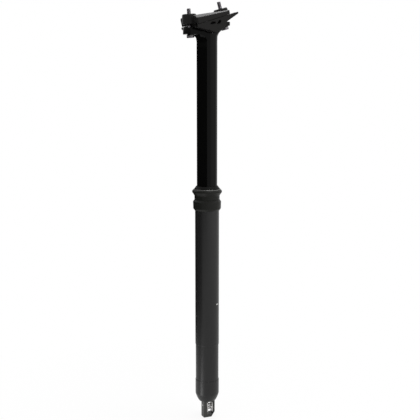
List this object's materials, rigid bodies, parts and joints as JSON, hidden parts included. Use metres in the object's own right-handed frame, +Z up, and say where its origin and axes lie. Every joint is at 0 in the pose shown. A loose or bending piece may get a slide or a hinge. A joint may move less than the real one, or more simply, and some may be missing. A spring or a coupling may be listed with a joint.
{
  "type": "dropper seatpost",
  "caption": "Telescoping bicycle seatpost at full height: sliding tube, threaded collar with wiper, tilting saddle rail clamp on two bolts and a cable lever at the foot.",
  "frame": {"origin": "on the post's axis at the underside of the collar, where the seat tube ends at full insertion", "axes": "+Z up the post, +X to the front of the bicycle, +Y to the bicycle's left"},
  "size_m": [0.0653, 0.054, 0.5503],
  "materials": {
    "post_black": "satin black anodised",
    "collar_black": "satin black anodised",
    "stanchion_black": "gloss black anodised",
    "clamp_black": "satin black anodised",
    "bracket_black": "satin black anodised",
    "bare_aluminium": "machined",
    "seal_rubber": "matt moulded",
    "guide_plastic": "matt bearing plastic",
    "key_brass": "machined",
    "plain_steel": "stainless, fine brushed",
    "polished_steel": "ground and polished",
    "bolt_steel": "dark zinc plated"
  },
  "bodies": {
    "lower_post": {"lower_tube": "post_black", "collar_base": "collar_black", "collar_nut": "collar_black", "collar_o_ring": "seal_rubber", "upper_bushing": "guide_plastic", "wiper_seal": "seal_rubber", "bottom_end_cap": "post_black", "bottom_out_bumper": "seal_rubber", "piston_rod": "polished_steel", "rod_jam_nut": "plain_steel", "piston": "bare_aluminium", "piston_seal": "seal_rubber", "actuator_bracket": "bracket_black", "lever_pivot_pin": "plain_steel"},
    "stanchion_assembly": {"stanchion": "stanchion_black", "lower_bushing": "guide_plastic", "anti_rotation_keys": "key_brass", "cartridge_cylinder": "bare_aluminium", "cartridge_plug": "bare_aluminium", "cartridge_gland": "bare_aluminium", "rod_seal": "seal_rubber", "cartridge_retainer": "bare_aluminium", "top_out_bumper": "seal_rubber"},
    "saddle_clamp": {"lower_cradle": "clamp_black", "upper_clamp": "clamp_black"},
    "front_clamp_bolt": {"front_bolt": "bolt_steel", "front_washer": "plain_steel"},
    "rear_clamp_bolt": {"rear_bolt": "bolt_steel", "rear_washer": "plain_steel"},
    "front_nut": {"front_barrel_nut": "bolt_steel"},
    "rear_nut": {"rear_barrel_nut": "bolt_steel"},
    "release_lever": {"actuator_lever": "plain_steel"},
    "cable_anchor": {"cable_barrel": "plain_steel", "barrel_set_screw": "bolt_steel"},
    "release_valve": {"release_pin": "polished_steel", "valve_poppet": "plain_steel"}
  },
  "joints": [
    {"name": "post_slide", "type": "slide", "parent": "lower_post", "child": "stanchion_assembly", "axis": [0, 0, 1], "range_m": [-0.17, 0], "stiffness_N_per_m": 150, "springref_m": 0.6},
    {"name": "clamp_tilt", "type": "hinge", "parent": "stanchion_assembly", "child": "saddle_clamp", "pos_m": [0, 0, 0.2436], "axis": [0, 1, 0], "range_deg": [-8, 5.5]},
    {"name": "front_bolt_swing", "type": "hinge", "parent": "stanchion_assembly", "child": "front_clamp_bolt", "pos_m": [0.02243, 0, 0.22011], "axis": [0, 1, 0], "range_deg": [-1.1, 0.75]},
    {"name": "rear_bolt_swing", "type": "hinge", "parent": "stanchion_assembly", "child": "rear_clamp_bolt", "pos_m": [-0.02583, 0, 0.23138], "axis": [0, 1, 0], "range_deg": [-1.35, 0.95]},
    {"name": "front_nut_turn", "type": "hinge", "parent": "saddle_clamp", "child": "front_nut", "pos_m": [0.02422, 0, 0.2446], "axis": [0, 1, 0], "range_deg": [-4.9, 7.1]},
    {"name": "rear_nut_turn", "type": "hinge", "parent": "saddle_clamp", "child": "rear_nut", "pos_m": [-0.01999, 0, 0.253], "axis": [0, 1, 0], "range_deg": [-4.7, 6.8]},
    {"name": "lever_turn", "type": "hinge", "parent": "lower_post", "child": "release_lever", "pos_m": [0, 0.0028, -0.2666], "axis": [1, 0, 0], "range_deg": [-25, 0]},
    {"name": "barrel_turn", "type": "hinge", "parent": "release_lever", "child": "cable_anchor", "pos_m": [-0.0011, 0.0057, -0.2696], "axis": [1, 0, 0], "range_deg": [0, 25]},
    {"name": "valve_lift", "type": "slide", "parent": "lower_post", "child": "release_valve", "axis": [0, 0, 1], "range_m": [0, 0.0012], "stiffness_N_per_m": 2000, "springref_m": -0.005}
  ],
  "couplings": [
    {"joint": "front_bolt_swing", "follows": "clamp_tilt", "ratio": 0.127},
    {"joint": "rear_bolt_swing", "follows": "clamp_tilt", "ratio": 0.158},
    {"joint": "front_nut_turn", "follows": "clamp_tilt", "ratio": -0.873},
    {"joint": "rear_nut_turn", "follows": "clamp_tilt", "ratio": -0.842},
    {"joint": "lever_turn", "follows": "valve_lift", "rad_per_m": -363},
    {"joint": "barrel_turn", "follows": "valve_lift", "rad_per_m": 363}
  ]
}
